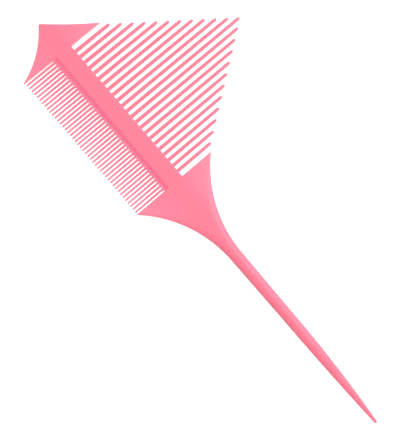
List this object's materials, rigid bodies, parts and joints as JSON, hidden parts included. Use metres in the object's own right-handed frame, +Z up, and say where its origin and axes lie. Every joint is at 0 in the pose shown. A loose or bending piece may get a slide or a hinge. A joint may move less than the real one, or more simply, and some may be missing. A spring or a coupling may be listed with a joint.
{
  "type": "wide tooth comb",
  "caption": "Flat salon comb with a peaked fan of wide teeth on one side, a row of fine teeth on the other and a long pointed parting tail.",
  "frame": {"origin": "centre of the bounding box, on the surface that the comb lies on", "axes": "+X from the nose to the tail tip along the comb's length, +Y towards the tips of the wide teeth, +Z up through the comb's thickness"},
  "size_m": [0.27, 0.109, 0.0046],
  "materials": {
    "plastic": "smooth pink moulded plastic, soft gloss"
  },
  "bodies": {
    "root": {"nose_block": "plastic", "spine": "plastic", "fine_tooth_ledge": "plastic", "neck": "plastic", "tail": "plastic", "fine_teeth": "plastic", "wide_tooth_01": "plastic", "wide_tooth_02": "plastic", "wide_tooth_03": "plastic", "wide_tooth_04": "plastic", "wide_tooth_05": "plastic", "wide_tooth_06": "plastic", "wide_tooth_07": "plastic", "wide_tooth_08": "plastic", "wide_tooth_09": "plastic", "wide_tooth_10": "plastic", "wide_tooth_11": "plastic", "wide_tooth_12": "plastic", "wide_tooth_13": "plastic", "wide_tooth_14": "plastic", "wide_tooth_15": "plastic", "wide_tooth_16": "plastic", "wide_tooth_17": "plastic", "wide_tooth_18": "plastic", "wide_tooth_19": "plastic", "wide_tooth_20": "plastic", "wide_tooth_21": "plastic", "wide_tooth_22": "plastic", "wide_tooth_23": "plastic"}
  },
  "joints": []
}
